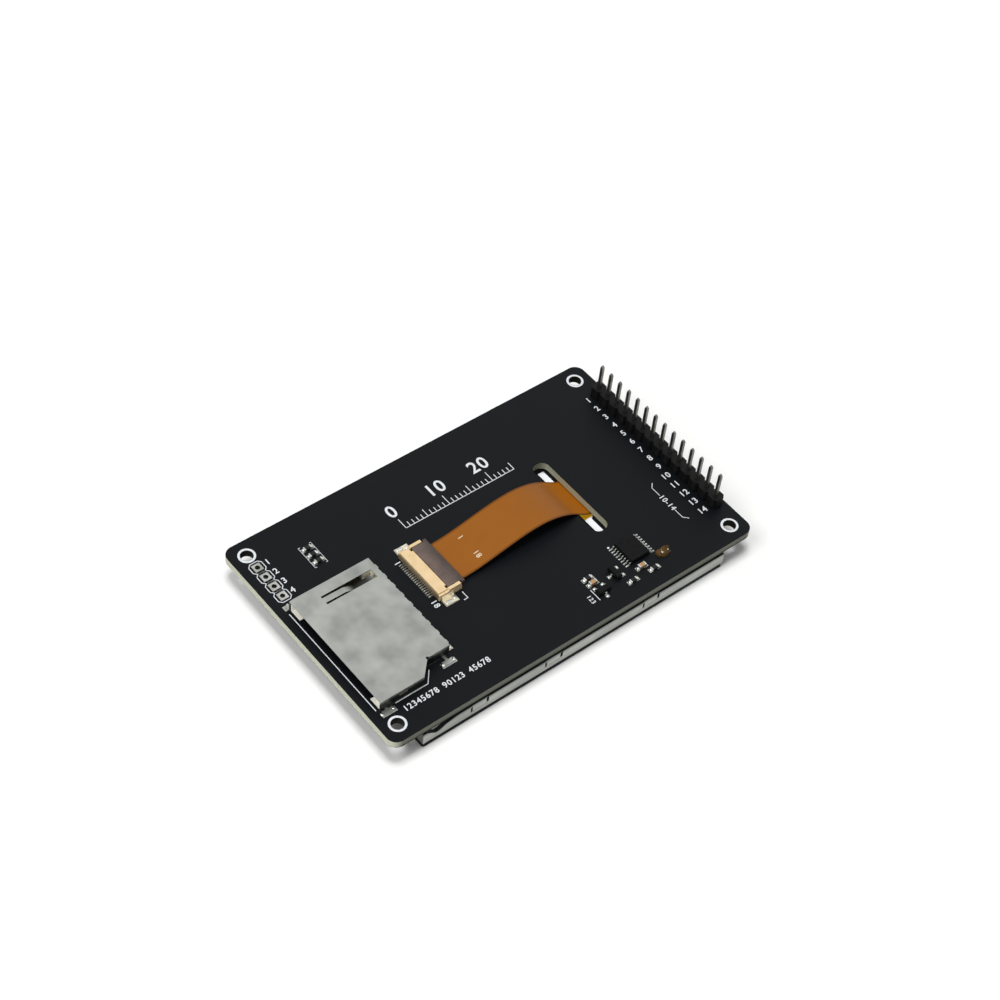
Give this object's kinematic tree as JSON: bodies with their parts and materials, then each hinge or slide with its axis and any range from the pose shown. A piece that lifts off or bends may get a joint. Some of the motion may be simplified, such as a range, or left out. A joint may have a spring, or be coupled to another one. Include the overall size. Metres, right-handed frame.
{
  "type": "tft display module",
  "caption": "Rectangular TFT touch display module on a black circuit board, with a pin header, a memory card socket and a flex in a flip-lock connector.",
  "frame": {"origin": "centre of the circuit board, on the front face of the touch film, which is the face that the module lies on", "axes": "+Z leaves the back of the board; +X points along the board to the header with the long row of pins; +Y completes the right-handed frame, to the side of the free header holes"},
  "size_m": [0.0826, 0.0506, 0.0147],
  "materials": {
    "black_laminate": "satin solder mask",
    "tinned_copper": "bright tin",
    "black_nylon": "matt moulded",
    "dull_tin_pins": "dull tin plate",
    "solder": "bright",
    "nickel_steel": "satin nickel plate",
    "ivory_lcp": "matt moulded",
    "gold_bronze": "gold flash",
    "beige_lcp": "matt moulded",
    "brown_lcp": "matt moulded",
    "polyimide": "satin film",
    "amber_stiffener": "satin film",
    "black_epoxy": "matt moulded",
    "black_alumina": "glazed",
    "tan_ceramic": "fired",
    "black_foam": "soft foam",
    "frame_steel": "satin",
    "white_polycarbonate": "satin",
    "white_film": "satin",
    "clear_acrylic": "polished",
    "frosted_film": "frosted",
    "led_package": "satin",
    "polariser": "matt coated",
    "display_glass": "polished",
    "silicon": "polished",
    "black_tape": "matt",
    "touch_glass": "polished",
    "touch_film": "hard coated"
  },
  "bodies": {
    "module": {"board": "black_laminate", "tinned_pads": "tinned_copper", "header_strip": "black_nylon", "header_pins": "dull_tin_pins", "header_solder": "solder", "card_shell": "nickel_steel", "card_base": "ivory_lcp", "card_contacts_row": "gold_bronze", "card_switch_springs": "gold_bronze", "flex_housing": "beige_lcp", "flex_contacts": "tinned_copper", "flex_hold_downs": "tinned_copper", "display_flex": "polyimide", "flex_stiffener": "amber_stiffener", "touch_controller": "black_epoxy", "controller_leads": "tinned_copper", "transistors": "black_epoxy", "transistor_leads": "tinned_copper", "resistor_bodies": "black_alumina", "capacitor_bodies": "tan_ceramic", "chip_terminals": "tinned_copper", "foam_tape": "black_foam", "steel_frame": "frame_steel", "backlight_frame": "white_polycarbonate", "reflector": "white_film", "light_guide": "clear_acrylic", "diffuser_film": "frosted_film", "prism_films": "frosted_film", "led_flex": "white_film", "leds": "led_package", "rear_polariser": "polariser", "tft_glass": "display_glass", "filter_glass": "display_glass", "front_polariser": "polariser", "driver_chip": "silicon", "panel_tape": "black_tape", "touch_glass": "touch_glass", "touch_spacer": "black_tape", "touch_film": "touch_film", "touch_flex": "polyimide"},
    "lever": {"flex_lever": "brown_lcp"}
  },
  "joints": [
    {"name": "lever_hinge", "type": "hinge", "parent": "module", "child": "lever", "pos_m": [-0.01361, 0.00045, 0.0079], "axis": [0, -1, 0], "range_deg": [0, 95]}
  ]
}
